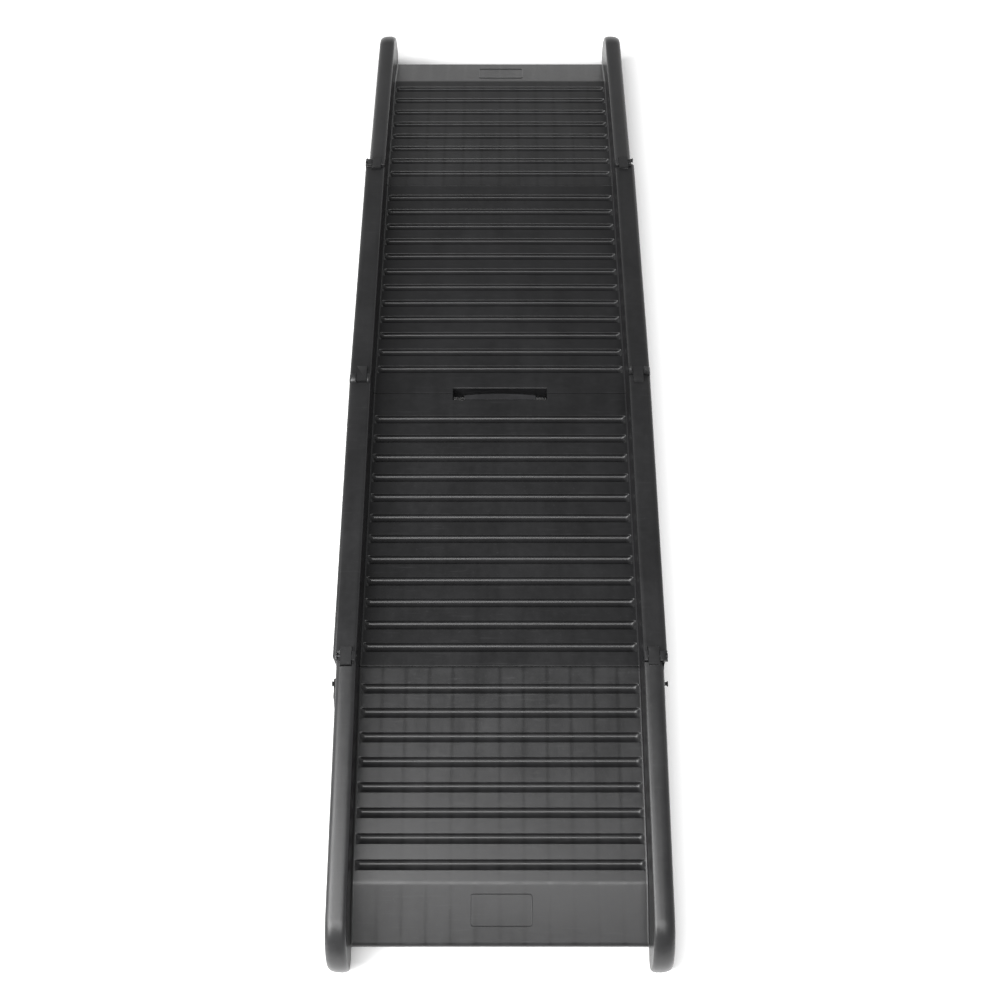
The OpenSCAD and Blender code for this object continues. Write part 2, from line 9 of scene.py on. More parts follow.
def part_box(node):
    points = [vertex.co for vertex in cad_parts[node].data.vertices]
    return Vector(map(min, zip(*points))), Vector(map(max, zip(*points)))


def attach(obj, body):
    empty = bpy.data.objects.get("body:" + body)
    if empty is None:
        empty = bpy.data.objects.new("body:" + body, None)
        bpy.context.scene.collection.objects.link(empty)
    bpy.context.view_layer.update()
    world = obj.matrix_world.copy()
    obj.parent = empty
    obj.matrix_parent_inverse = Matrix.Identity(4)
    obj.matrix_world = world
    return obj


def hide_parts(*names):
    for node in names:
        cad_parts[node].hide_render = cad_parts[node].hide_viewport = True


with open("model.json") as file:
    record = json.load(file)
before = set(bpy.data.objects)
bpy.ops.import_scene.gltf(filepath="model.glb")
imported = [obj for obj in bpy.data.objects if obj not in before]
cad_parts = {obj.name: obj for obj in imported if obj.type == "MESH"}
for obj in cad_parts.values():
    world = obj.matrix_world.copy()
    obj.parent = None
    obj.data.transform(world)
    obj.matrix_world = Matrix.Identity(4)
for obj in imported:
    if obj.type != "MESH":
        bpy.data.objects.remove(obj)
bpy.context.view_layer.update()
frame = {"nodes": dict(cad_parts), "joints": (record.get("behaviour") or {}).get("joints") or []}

# ---- Camera, floor and lights ----
# The ramp lies unfolded on a plain white studio floor, seen by a person standing at its
# bottom end. One soft box hangs over that end and a second one lights the ramp from the left.

LOOK_DOWN = 61.1
scene = bpy.context.scene
scene.view_settings.view_transform = "Standard"

camera_data = bpy.data.cameras.new("camera")
camera_data.lens = 47.07
camera_data.sensor_width = 36.0
camera = bpy.data.objects.new("camera", camera_data)
scene.collection.objects.link(camera)
scene.camera = camera

camera.location = (0.0, -1.0005, 1.5980)
camera.rotation_euler = (math.radians(90.0 - LOOK_DOWN), 0.0, 0.0)


def link(obj):
    scene.collection.objects.link(obj)
    return obj


def floor_material():
    material = bpy.data.materials.new("studio_floor")
    material.use_nodes = True
    nodes, links = material.node_tree.nodes, material.node_tree.links
    shader = nodes["Principled BSDF"]
    shader.inputs["Base Color"].default_value = (0.93, 0.93, 0.93, 1.0)
    shader.inputs["Roughness"].default_value = 0.75
    shader.inputs["Emission Strength"].default_value = 0.5
    coords = nodes.new("ShaderNodeTexCoord")
    # Painted light: the white floor glows a little, which washes out the ramp's shadows on it,
    # but not below the ramp
    split = nodes.new("ShaderNodeSeparateXYZ")
    links.new(coords.outputs["Object"], split.inputs["Vector"])
    edges = []
    for axis, half, blur in (("X", 0.19, 0.05), ("Y", 0.735, 0.02)):
        away = nodes.new("ShaderNodeMath")
        away.operation = "ABSOLUTE"
        edge = nodes.new("ShaderNodeMapRange")
        edge.inputs["From Min"].default_value = half
        edge.inputs["From Max"].default_value = half + blur
        links.new(split.outputs[axis], away.inputs[0])
        links.new(away.outputs["Value"], edge.inputs["Value"])
        edges.append(edge.outputs["Result"])
    glow = nodes.new("ShaderNodeMath")
    glow.operation = "MAXIMUM"
    links.new(edges[0], glow.inputs[0])
    links.new(edges[1], glow.inputs[1])
    links.new(glow.outputs["Value"], shader.inputs["Emission Color"])
    noise = nodes.new("ShaderNodeTexNoise")
    noise.inputs["Scale"].default_value = 6.0
    bump = nodes.new("ShaderNodeBump")
    bump.inputs["Strength"].default_value = 0.02
    links.new(coords.outputs["Object"], noise.inputs["Vector"])
    links.new(noise.outputs["Fac"], bump.inputs["Height"])
    links.new(bump.outputs["Normal"], shader.inputs["Normal"])
    return material


floor_bm = bmesh.new()
bmesh.ops.create_grid(floor_bm, x_segments=2, y_segments=2, size=6.0)
floor_mesh = bpy.data.meshes.new("floor")
floor_bm.to_mesh(floor_mesh)
floor_bm.free()
floor_mesh.materials.append(floor_material())
floor = link(bpy.data.objects.new("floor", floor_mesh))


def soft_box(name, location, target, size, power):
    data = bpy.data.lights.new(name, "AREA")
    data.shape = "RECTANGLE"
    data.size, data.size_y = size
    data.energy = power
    light = link(bpy.data.objects.new(name, data))
    light.location = location
    aim = Vector(target) - Vector(location)
    light.rotation_euler = aim.to_track_quat("-Z", "Y").to_euler()


soft_box("key_soft_box", (-0.3, -1.32, 2.5), (0.0, -0.2, 0.0), (2.2, 1.0), 56.0)
soft_box("left_soft_box", (-2.0, -1.2, 1.9), (0.0, -0.5, 0.0), (1.6, 1.4), 90.0)

world = bpy.data.worlds.new("studio")
scene.world = world
world.use_nodes = True
sky_nodes, sky_links = world.node_tree.nodes, world.node_tree.links
sky_coords = sky_nodes.new("ShaderNodeTexCoord")
sky_split = sky_nodes.new("ShaderNodeSeparateXYZ")
sky_shade = sky_nodes.new("ShaderNodeValToRGB")
sky_links.new(sky_coords.outputs["Generated"], sky_split.inputs["Vector"])
sky_links.new(sky_split.outputs["Z"], sky_shade.inputs["Fac"])
sky_links.new(sky_shade.outputs["Color"], sky_nodes["Background"].inputs["Color"])
sky_shade.color_ramp.elements[0].position = 0.0
sky_shade.color_ramp.elements[0].color = (1.0, 1.0, 1.0, 1.0)
sky_shade.color_ramp.elements[1].position = 0.65
sky_shade.color_ramp.elements[1].color = (0.29, 0.29, 0.29, 1.0)
sky_nodes["Background"].inputs["Strength"].default_value = 1.0

# ---- Deck mouldings ----
# Four injection-moulded polypropylene panels with cross grooves for grip. A lattice of thin
# ribs stiffens each one from below, and the two end panels slope down to a lip. Each deck is
# screwed sideways to its two rails.

MM = 0.001
END_SECTIONS = ("bottom", "top")

# Degrees that each section tilts. A seam lies on the line from its hinge's axis that is square
# to the mean slope of the two decks.
TILT = {"bottom": 8.482, "lower": 1.882, "upper": -3.118, "top": -7.018}
OUTWARD = {"bottom": -1, "lower": -1, "upper": 1, "top": 1}
AXIS_ABOVE_DECK = 44.5 * MM
AXIS_BELOW_DECK = 26.3 * MM
joint_at = {joint["name"]: Vector(joint["pos_m"]) for joint in frame["joints"]}


def seam_point(joint, height, tilt):
    turn = math.radians(tilt)
    return joint_at[joint] - height * Vector((0.0, -math.sin(turn), math.cos(turn)))


HINGE_TILT = {
    "low": (TILT["bottom"] + TILT["lower"]) / 2,
    "middle": (TILT["lower"] + TILT["upper"]) / 2,
    "top": (TILT["upper"] + TILT["top"]) / 2,
}
SEAM = {
    "low": seam_point("low_fold", AXIS_ABOVE_DECK, HINGE_TILT["low"]),
    "middle": seam_point("middle_fold", -AXIS_BELOW_DECK, HINGE_TILT["middle"]),
    "top": seam_point("top_fold", AXIS_ABOVE_DECK, HINGE_TILT["top"]),
}
for seam in SEAM.values():
    seam.x = 0.0
SECTION_SEAM = {"bottom": "low", "lower": "middle", "upper": "middle", "top": "top"}


def section_matrix(section):
    """From a section's own frame, with +Y pointing outwards along the deck, to the ramp's."""
    matrix = Matrix.Translation(SEAM[SECTION_SEAM[section]])
    matrix = matrix @ Matrix.Rotation(math.radians(TILT[section]), 4, "X")
    return matrix @ Matrix.Diagonal((1.0, OUTWARD[section], 1.0, 1.0))


DECK_HALF = 174.0 * MM
GROOVE_PITCH = 30.0 * MM
GROOVE_HALF = 6.5 * MM
GROOVE_DEPTH = 5.0 * MM
MID_LEN = 397.2 * MM
BEND = 258.3 * MM
LIP_LEN = 73.0 * MM
LIP_ANGLE = math.radians(12.9)
SKIN = 3.0 * MM
RIB_DEPTH = 22.0 * MM
RIB_CELLS = 12
RIB_PITCH = 29.0 * MM
RIB_HALF = 1.1 * MM
RIB_SPACE = 7.5 * MM
LIP_RIB_HALF = 0.9 * MM
WALL_INSET = 2.2 * MM
END_WALL_IN = 5.4 * MM
HALF_SLOT = 64.5 * MM
SLOT_WALL_IN = 64.6 * MM
SLOT_WALL_OUT = 67.5 * MM
SLOT_CLEAR = 68.0 * MM
GRIP_SEAT = 22.0 * MM
EDGE_ROUND = 1.1 * MM
LIP_ROUND = 4.5 * MM
LIP_EDGE = 5.0 * MM
LIP_EDGE_DEPTH = 5.4 * MM
CROWN_FADE = 30.0 * MM
WALL_FILLET = 2.6 * MM
SEAM_CLEARANCE = 0.4 * MM


def smooth_step(value):
    value = min(1.0, max(0.0, value))
    return value * value * (3.0 - 2.0 * value)


def groove_drop(across):
    """Depth of a groove at a distance from its middle, + towards the top end of the ramp.
    Its lower side curves down to the floor and its upper side is a steep little wall."""
    lowest = 1.0 * MM
    if across < -GROOVE_HALF:
        return 0.0
    if across < lowest:
        return GROOVE_DEPTH * (1.0 - ((lowest - across) / (lowest + GROOVE_HALF)) ** 2)
    rising = (across - lowest) / (3.4 * MM)
    far_wall = 1.0 - smooth_step((across - 4.3 * MM) / (1.9 * MM))
    return (GROOVE_DEPTH - 1.3 * MM * min(1.0, rising) ** 2) * far_wall


def groove_end(x):
    """How much of its depth a groove has at this distance across the deck."""
    return math.sqrt(smooth_step((DECK_HALF - 3.0 * MM - abs(x)) / (6.0 * MM)))


def round_off(distance, radius):
    """Drop of a rounded edge at a distance inside it."""
    if distance >= radius:
        return 0.0
    return radius - math.sqrt(max(0.0, radius * radius - (radius - distance) ** 2))


def lip_path(s, length):
    """Where a point s along an end deck lies, once the deck has bent down to its lip."""
    bend_run = 3.0 * MM
    before, after = BEND - bend_run, BEND + bend_run
    if s <= before:
        return s, 0.0, 0.0
    steps = 24
    y, z, angle = before, 0.0, 0.0
    run = min(s, after) - before
    for i in range(steps):
        part = (i + 0.5) / steps * run / (after - before)
        angle = LIP_ANGLE * smooth_step(part)
        y += math.cos(angle) * run / steps
        z -= math.sin(angle) * run / steps
    if s > after:
        angle = LIP_ANGLE
        y += math.cos(angle) * (s - after)
        z -= math.sin(angle) * (s - after)
    return y, z, angle


def stations(length, grooves, ends, outward):
    """Lines across a deck: close together over each groove and at both ends."""
    lines = {0.0, length}
    for groove in grooves:
        for step in (-7.6, -6.5, -5.9, -5.2, -4.4, -3.6, -2.8, -2.0, -1.0, 0.2, 1.4, 2.6, 3.6,
                     4.1, 4.4, 4.7, 5.0, 5.3, 5.6, 5.9, 6.2, 6.9):
            lines.add(round(groove + outward * step * MM, 6))
    for end in ends:
        lines.add(round(end, 6))
    return sorted(line for line in lines if 0.0 <= line <= length)


def add_box(bm, low, high):
    made = bmesh.ops.create_cube(bm, size=1.0)["verts"]
    for vert in made:
        for axis in range(3):
            vert.co[axis] = low[axis] + (vert.co[axis] + 0.5) * (high[axis] - low[axis])
    return made


def deck_skin(section, length, grooves, slot_depth):
    """The walking surface: a grid with its lines drawn up at the grooves, then thickened."""
    is_end = section in END_SECTIONS
    outward = OUTWARD[section]
    edge_lines = [0.25 * MM, 0.6 * MM, 1.1 * MM, 3.0 * MM]
    ends = edge_lines + [length - e for e in edge_lines]
    if is_end:
        ends += [BEND + step * MM for step in (-3.5, -2.5, -1.5, -0.5, 0.5, 1.5, 2.5, 3.5)]
        ends += [length - e * MM for e in (0.3, 0.9, 1.9, 3.2, 4.6, 6.0)]
        ends += [BEND + step * MM for step in range(12, 66, 9)]
    else:
        ends += [slot_depth - 1.1 * MM, slot_depth, slot_depth + 0.25 * MM,
                 slot_depth + 0.6 * MM, slot_depth + 1.1 * MM]
    rows = stations(length, grooves, ends, outward)
    columns = []
    for step in (174.0, 173.7, 173.3, 172.8, 172.2, 171.6, 171.2, 170.6, 169.6, 168.4, 167.0,
                 165.4, 164.2, 150.0, 129.0, 108.0, 87.0, 66.0, 65.2, 64.5, 58.0, 40.0, 20.0):
        columns += [step * MM, -step * MM]
    columns = sorted(columns + [0.0])

    bm = bmesh.new()
    bmesh.ops.create_grid(bm, x_segments=len(columns) - 1, y_segments=len(rows) - 1, size=0.5)
    bm.verts.ensure_lookup_table()
    x_step, y_step = 1.0 / (len(columns) - 1), 1.0 / (len(rows) - 1)
    shape = {}
    for vert in bm.verts:
        column = round((vert.co.x + 0.5) / x_step)
        row = round((vert.co.y + 0.5) / y_step)
        shape[vert] = (columns[column], rows[row])
    hole = [face for face in bm.faces if not is_end
            and all(abs(shape[v][0]) <= HALF_SLOT + 1e-6 for v in face.verts)
            and all(shape[v][1] <= slot_depth + 1e-6 for v in face.verts)]
    bmesh.ops.delete(bm, geom=hole, context="FACES")
    crown = 0.45 * MM if not is_end else 0.2 * MM
    for vert in bm.verts:
        x, s = shape[vert]
        drop = 0.0
        for groove in grooves:
            if abs(s - groove) < 9.0 * MM:
                drop += groove_drop((s - groove) * outward) * groove_end(x)
        drop += round_off(s, EDGE_ROUND)
        drop += round_off(length - s, LIP_ROUND if is_end else EDGE_ROUND)
        if not is_end and abs(x) < HALF_SLOT + EDGE_ROUND and s < slot_depth + EDGE_ROUND:
            outside = max(abs(x) - HALF_SLOT, s - slot_depth)
            drop += round_off(max(0.0, outside), EDGE_ROUND)
        rise = round_off(DECK_HALF - abs(x), WALL_FILLET) * (1.0 if drop < MM else 0.6)
        from_end = min(s, length - s)
        rise += crown * (1.0 - (x / DECK_HALF) ** 2) * smooth_step(from_end / CROWN_FADE)
        y, z, angle = lip_path(s, length) if is_end else (s, 0.0, 0.0)
        lift = rise - drop - crown
        vert.co = (x, y + math.sin(angle) * lift, z + math.cos(angle) * lift)
    made = bmesh.ops.extrude_face_region(bm, geom=bm.faces[:])["geom"]
    under = [g for g in made if isinstance(g, bmesh.types.BMVert)]
    for vert in under:
        vert.co.z -= SKIN - crown
    if is_end:
        y_far, z_far, _ = lip_path(length, length)
        for vert in under:
            if vert.co.y > y_far - LIP_EDGE:
                vert.co.z = max(vert.co.z, z_far - LIP_EDGE_DEPTH)
    bmesh.ops.recalc_face_normals(bm, faces=bm.faces[:])
    return bm


def add_ribs(bm, section, length, grooves, slot_depth):
    """Side walls, end walls, groove channels and the long ribs below a deck."""
    top = -SKIN + 0.4 * MM
    flat_len = BEND - 6.0 * MM if section in END_SECTIONS else length - 1.6 * MM
    for side in (-1, 1):
        x_out, x_in = side * (DECK_HALF - 0.05 * MM), side * (DECK_HALF - 3.0 * MM)
        add_box(bm, (min(x_out, x_in), WALL_INSET, -RIB_DEPTH),
                (max(x_out, x_in), flat_len, top))
    below_grooves = -GROOVE_DEPTH - 0.6 * SKIN
    for i in range(1, RIB_CELLS):
        x = -DECK_HALF + i * 2.0 * DECK_HALF / RIB_CELLS
        start = WALL_INSET
        if slot_depth and abs(x) < SLOT_CLEAR:
            start = slot_depth + (GRIP_SEAT if section == "lower" else 1.0 * MM)
        add_box(bm, (x - RIB_HALF, start, -RIB_DEPTH), (x + RIB_HALF, flat_len, below_grooves))
        for before, after in zip([start - RIB_SPACE] + grooves,
                                 grooves + [flat_len + RIB_SPACE]):
            add_box(bm, (x - RIB_HALF, before + RIB_SPACE, below_grooves - 0.1 * MM),
                    (x + RIB_HALF, after - RIB_SPACE, top))
    if slot_depth:
        for side in (-1, 1):
            x0, x1 = sorted((side * SLOT_WALL_IN, side * (DECK_HALF - MM)))
            add_box(bm, (x0, WALL_INSET, -RIB_DEPTH), (x1, END_WALL_IN, top))
            x0, x1 = sorted((side * SLOT_WALL_IN, side * SLOT_WALL_OUT))
            add_box(bm, (x0, WALL_INSET, -RIB_DEPTH), (x1, slot_depth + 3.0 * MM, top))
        if section == "upper":
            add_box(bm, (-SLOT_WALL_OUT, slot_depth + 0.2 * MM, -RIB_DEPTH),
                    (SLOT_WALL_OUT, slot_depth + 3.0 * MM, top))
        add_box(bm, (-DECK_HALF + MM, length - 5.0 * MM, -RIB_DEPTH),
                (DECK_HALF - MM, length - 1.8 * MM, top))
    else:
        add_box(bm, (-DECK_HALF + MM, WALL_INSET, -RIB_DEPTH),
                (DECK_HALF - MM, END_WALL_IN, top))
        turn = Matrix.Rotation(-LIP_ANGLE, 4, "X")
        for i in range(1, RIB_CELLS):
            x = -DECK_HALF + i * 2.0 * DECK_HALF / RIB_CELLS
            verts = add_box(bm, (x - LIP_RIB_HALF, -4.0 * MM, -7.0 * MM),
                            (x + LIP_RIB_HALF, 42.0 * MM, -2.2 * MM))
            bmesh.ops.transform(bm, matrix=Matrix.Translation((0, BEND, 0)) @ turn, verts=verts)


def add_badge(bm, length):
    """A blank raised frame with round corners in the middle of a lip."""
    half_w, half_l, corner, bead = 36.0 * MM, 18.2 * MM, 3.0 * MM, 0.55 * MM
    middle = BEND + 31.0 * MM
    outline = []
    for quarter in range(4):
        cx = half_w - corner if quarter in (0, 3) else -half_w + corner
        cy = half_l - corner if quarter in (0, 1) else -half_l + corner
        for i in range(5):
            turn = math.radians(90.0 * quarter + 22.5 * i)
            outline.append((cx + corner * math.cos(turn), cy + corner * math.sin(turn)))
    rings = []
    for i, (x, y) in enumerate(outline):
        before, after = outline[i - 1], outline[(i + 1) % len(outline)]
        side = Vector((after[1] - before[1], before[0] - after[0], 0.0)).normalized()
        path_y, path_z, _ = lip_path(middle + y, length)
        centre = Vector((x + 1.6 * MM, path_y, path_z + 0.05 * MM))
        ring = []
        for k in range(6):
            turn = math.radians(60.0 * k + 30.0)
            offset = side * bead * math.cos(turn)
            ring.append(bm.verts.new(centre + offset + Vector((0, 0, bead * math.sin(turn)))))
        rings.append([bm.edges.new((ring[k], ring[(k + 1) % 6])) for k in range(6)])
    for i, ring in enumerate(rings):
        bmesh.ops.bridge_loops(bm, edges=ring + rings[(i + 1) % len(rings)])


def finish_piece(bm, name, matrix, flipped):
    """Turns a bmesh in a section's frame into a smooth-shaded object in the ramp's frame."""
    bmesh.ops.transform(bm, matrix=matrix, verts=bm.verts[:])
    if flipped:
        bmesh.ops.reverse_faces(bm, faces=bm.faces[:])
    mesh = bpy.data.meshes.new(name)
    for face in bm.faces:
        face.smooth = True
    bm.to_mesh(mesh)
    bm.free()
    mesh.set_sharp_from_angle(angle=math.radians(30.0))
    return link(bpy.data.objects.new(name, mesh))


def moulded_plastic_group():
    """Fine eroded mould texture, flow mottling and dust for all the black polypropylene."""
    group = bpy.data.node_groups.new("moulded_plastic", "ShaderNodeTree")
    put = group.interface.new_socket
    put("Grain Size", in_out="INPUT", socket_type="NodeSocketFloat").default_value = 1.0
    put("Sink Marks", in_out="INPUT", socket_type="NodeSocketFloat").default_value = 0.0
    put("Dark", in_out="INPUT", socket_type="NodeSocketColor")
    put("Light", in_out="INPUT", socket_type="NodeSocketColor")
    put("Color", in_out="OUTPUT", socket_type="NodeSocketColor")
    put("Roughness", in_out="OUTPUT", socket_type="NodeSocketFloat")
    put("Height", in_out="OUTPUT", socket_type="NodeSocketFloat")
    nodes, links = group.nodes, group.links
    inside, outside = nodes.new("NodeGroupInput"), nodes.new("NodeGroupOutput")
    coords = nodes.new("ShaderNodeTexCoord")

    def noise(scale, detail, stretch=(1.0, 1.0, 1.0)):
        mapping = nodes.new("ShaderNodeMapping")
        mapping.inputs["Scale"].default_value = stretch
        texture = nodes.new("ShaderNodeTexNoise")
        texture.inputs["Scale"].default_value = scale
        texture.inputs["Detail"].default_value = detail
        links.new(coords.outputs["Object"], mapping.inputs["Vector"])
        links.new(mapping.outputs["Vector"], texture.inputs["Vector"])
        return texture

    def maths(operation, first, second):
        node = nodes.new("ShaderNodeMath")
        node.operation = operation
        for socket, value in zip(node.inputs, (first, second)):
            if isinstance(value, (int, float)):
                socket.default_value = value
            else:
                links.new(value, socket)
        return node.outputs["Value"]

    grain = noise(1800.0, 3.0)
    links.new(maths("DIVIDE", 1800.0, inside.outputs["Grain Size"]), grain.inputs["Scale"])
    mottle = noise(14.0, 4.0)
    flow = noise(9.0, 3.0, stretch=(6.0, 1.0, 1.0))
    cloud = noise(110.0, 5.0)
    dust = noise(320.0, 2.0)
    scuffs = noise(26.0, 6.0, stretch=(1.0, 16.0, 4.0))
    scuffs.inputs["Distortion"].default_value = 0.6

    # Shallow bands over the ribs, where the skin shrank as it cooled
    split = nodes.new("ShaderNodeSeparateXYZ")
    links.new(coords.outputs["Object"], split.inputs["Vector"])
    wave = maths("MULTIPLY", split.outputs["X"], 2.0 * math.pi / RIB_PITCH)
    band = maths("POWER", maths("ABSOLUTE", maths("COSINE", maths("MULTIPLY", wave, 0.5), 0.0),
                                0.0), 30.0)
    sink = maths("MULTIPLY", band, inside.outputs["Sink Marks"])

    tone = maths("ADD", maths("MULTIPLY", mottle.outputs["Fac"], 0.45),
                 maths("MULTIPLY", flow.outputs["Fac"], 0.3))
    tone = maths("ADD", tone, maths("MULTIPLY", cloud.outputs["Fac"], 0.25))
    scuffed = nodes.new("ShaderNodeMapRange")
    scuffed.inputs["From Min"].default_value = 0.60
    scuffed.inputs["From Max"].default_value = 0.74
    links.new(scuffs.outputs["Fac"], scuffed.inputs["Value"])
    tone = maths("ADD", tone, maths("MULTIPLY", scuffed.outputs["Result"], 0.22))
    speck = nodes.new("ShaderNodeMapRange")
    speck.inputs["From Min"].default_value = 0.66
    speck.inputs["From Max"].default_value = 0.80
    links.new(dust.outputs["Fac"], speck.inputs["Value"])
    tone = maths("ADD", tone, maths("MULTIPLY", speck.outputs["Result"], 0.35))
    tone = maths("SUBTRACT", tone, maths("MULTIPLY", sink, 0.35))
    ramp = nodes.new("ShaderNodeMapRange")
    ramp.inputs["From Min"].default_value = 0.36
    ramp.inputs["From Max"].default_value = 0.74
    links.new(tone, ramp.inputs["Value"])
    mix = nodes.new("ShaderNodeMix")
    mix.data_type = "RGBA"
    links.new(ramp.outputs["Result"], mix.inputs["Factor"])
    links.new(inside.outputs["Dark"], mix.inputs["A"])
    links.new(inside.outputs["Light"], mix.inputs["B"])
    links.new(mix.outputs["Result"], outside.inputs["Color"])
    rough = maths("ADD", 0.30, maths("MULTIPLY", ramp.outputs["Result"], 0.14))
    links.new(rough, outside.inputs["Roughness"])
    height = maths("ADD", grain.outputs["Fac"], maths("MULTIPLY", mottle.outputs["Fac"], 1.5))
    height = maths("ADD", height, maths("MULTIPLY", cloud.outputs["Fac"], 2.0))
    height = maths("SUBTRACT", height, maths("MULTIPLY", sink, 2.0))
    links.new(height, outside.inputs["Height"])
    return group


PLASTIC_GROUP = moulded_plastic_group()


def plastic_material(name, dark, light, grain_size, sink_marks, bump_mm):
    material = bpy.data.materials.new(name)
    material.use_nodes = True
    nodes, links = material.node_tree.nodes, material.node_tree.links
    shader = nodes["Principled BSDF"]
    shader.inputs["Specular IOR Level"].default_value = 0.5
    group = nodes.new("ShaderNodeGroup")
    group.node_tree = PLASTIC_GROUP
    group.inputs["Grain Size"].default_value = grain_size
    group.inputs["Sink Marks"].default_value = sink_marks
    group.inputs["Dark"].default_value = (*dark, 1.0)
    group.inputs["Light"].default_value = (*light, 1.0)
    bump = nodes.new("ShaderNodeBump")
    bump.inputs["Strength"].default_value = 0.5
    bump.inputs["Distance"].default_value = bump_mm * MM
    links.new(group.outputs["Color"], shader.inputs["Base Color"])
    links.new(group.outputs["Roughness"], shader.inputs["Roughness"])
    links.new(group.outputs["Height"], bump.inputs["Height"])
    links.new(bump.outputs["Normal"], shader.inputs["Normal"])
    return material


deck_plastic = plastic_material("deck_plastic", (0.007, 0.007, 0.0075), (0.014, 0.014, 0.015),
                                1.0, 0.0, 0.06)
# The end decks take a lighter copy of the same plastic: painted light, standing in for the
# stronger light that the end sections catch.
end_deck_plastic_painted_light = plastic_material("end_deck_plastic_painted_light", (0.009, 0.009, 0.0095),
                                    (0.020, 0.020, 0.021), 1.0, 0.5, 0.06)

SLOT_DEPTH = {"lower": 10.0 * MM, "upper": 9.0 * MM}
for section in ("bottom", "lower", "upper", "top"):
    is_end = section in END_SECTIONS
    if is_end:
        deck_len = BEND + LIP_LEN
        groove_lines = [27.6 * MM + i * GROOVE_PITCH for i in range(8)]
    else:
        deck_len = MID_LEN
        groove_lines = [41.6 * MM + i * GROOVE_PITCH for i in range(12)]
    slot = SLOT_DEPTH.get(section, 0.0)
    deck_bm = deck_skin(section, deck_len, groove_lines, slot)
    add_ribs(deck_bm, section, deck_len, groove_lines, slot)
    if is_end:
        add_badge(deck_bm, deck_len)
    # Every deck stops a little short of its seams
    for deck_vert in deck_bm.verts:
        deck_vert.co.y = max(deck_vert.co.y, SEAM_CLEARANCE)
        if not is_end:
            deck_vert.co.y = min(deck_vert.co.y, MID_LEN - SEAM_CLEARANCE)
    deck = finish_piece(deck_bm, section + "_deck_moulding", section_matrix(section),
                        OUTWARD[section] < 0)
    deck.data.materials.append(end_deck_plastic_painted_light if is_end else deck_plastic)
    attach(deck, section + "_section")
    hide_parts(section + "_deck")

# ---- Side rails ----
# Hollow polypropylene mouldings, open below, that stand on both sides of each deck. Their
# ends are the tongues and forks of the hinges, and the end rails run out in a rounded nose.
# All their upper edges are generously rounded.

RAIL_TOP = 44.2 * MM
CROWN_TOP = 48.2 * MM
NOSE_TIP = 357.1 * MM
NOSE_R = 57.0 * MM
NOSE_LOW_R = 13.2 * MM
RAIL_WIDTH = {"bottom": 24.5 * MM, "lower": 29.0 * MM, "upper": 29.0 * MM, "top": 24.5 * MM}
CROWN_HALF = 14.0 * MM
SURFACE_TOLERANCE = 0.12 * MM
UP = Vector((0.0, 0.0, 1.0))

# Width and drop of the rounding along a rail's outer and inner upper edges
OUTER_ROUND = {"bottom": (13.0 * MM, 6.5 * MM), "lower": (8.0 * MM, 4.5 * MM),
               "upper": (8.0 * MM, 4.5 * MM), "top": (13.0 * MM, 6.5 * MM)}
INNER_ROUND = {"bottom": (8.0 * MM, 3.6 * MM), "lower": (5.0 * MM, 3.2 * MM),
               "upper": (5.0 * MM, 3.2 * MM), "top": (8.0 * MM, 3.6 * MM)}
SLICE_ANGLES = (0.5, 12, 24, 36, 48, 60, 75, 90)
HINGES_OF = {"bottom": ["low"], "lower": ["low", "middle"], "upper": ["middle", "top"],
             "top": ["top"]}


def hinge_matrix(hinge):
    turn = Matrix.Rotation(math.radians(HINGE_TILT[hinge]), 4, "X")
    return Matrix.Translation(SEAM[hinge]) @ turn


def rail_normal(local, section, hinge_local):
    """Outward direction of the rail's upper skin at a point on it, or None elsewhere."""
    for point in hinge_local:
        if abs(point.y) < CROWN_HALF and abs(point.z - CROWN_TOP) < SURFACE_TOLERANCE:
            return UP
    y, z = local.y, local.z
    if section in END_SECTIONS:
        centre_y, centre_z = NOSE_TIP - NOSE_R, RAIL_TOP - NOSE_R
        if y > centre_y - SURFACE_TOLERANCE and z > centre_z + MM:
            away = Vector((0.0, y - centre_y, z - centre_z))
            on_nose = abs(away.length - NOSE_R) < SURFACE_TOLERANCE
            return away.normalized() if on_nose else None
        low_y, low_z = NOSE_TIP - NOSE_LOW_R, centre_z
        if y > low_y and z <= centre_z + MM:
            away = Vector((0.0, y - low_y, z - low_z))
            on_nose = abs(away.length - NOSE_LOW_R) < 3 * SURFACE_TOLERANCE
            return away.normalized() if on_nose else None
    return UP if abs(z - RAIL_TOP) < SURFACE_TOLERANCE else None


def round_rail(bm, section, side):
    """Slices the rail along its two upper edges and lowers the skin there to round them."""
    to_local = section_matrix(section).inverted()
    inner, outer = DECK_HALF, DECK_HALF + RAIL_WIDTH[section]
    for width, edge, step in ((OUTER_ROUND[section][0], outer, -1),
                              (INNER_ROUND[section][0], inner, 1)):
        for angle in SLICE_ANGLES:
            x = side * (edge + step * width * (1.0 - math.cos(math.radians(angle))))
            bmesh.ops.bisect_plane(bm, geom=bm.verts[:] + bm.edges[:] + bm.faces[:],
                                   dist=1e-7, plane_co=(x, 0, 0), plane_no=(1, 0, 0))
    hinge_inverse = [hinge_matrix(hinge).inverted() for hinge in HINGES_OF[section]]
    turn = section_matrix(section).to_3x3()
    for vert in bm.verts:
        normal = rail_normal(to_local @ vert.co, section,
                             [inverse @ vert.co for inverse in hinge_inverse])
        if normal is None:
            continue
        x = abs(vert.co.x)
        drop = 0.0
        for inside, (width, depth) in ((outer - x, OUTER_ROUND[section]),
                                       (x - inner, INNER_ROUND[section])):
            drop += round_off(inside, width) * depth / width
        vert.co -= (turn @ normal) * drop


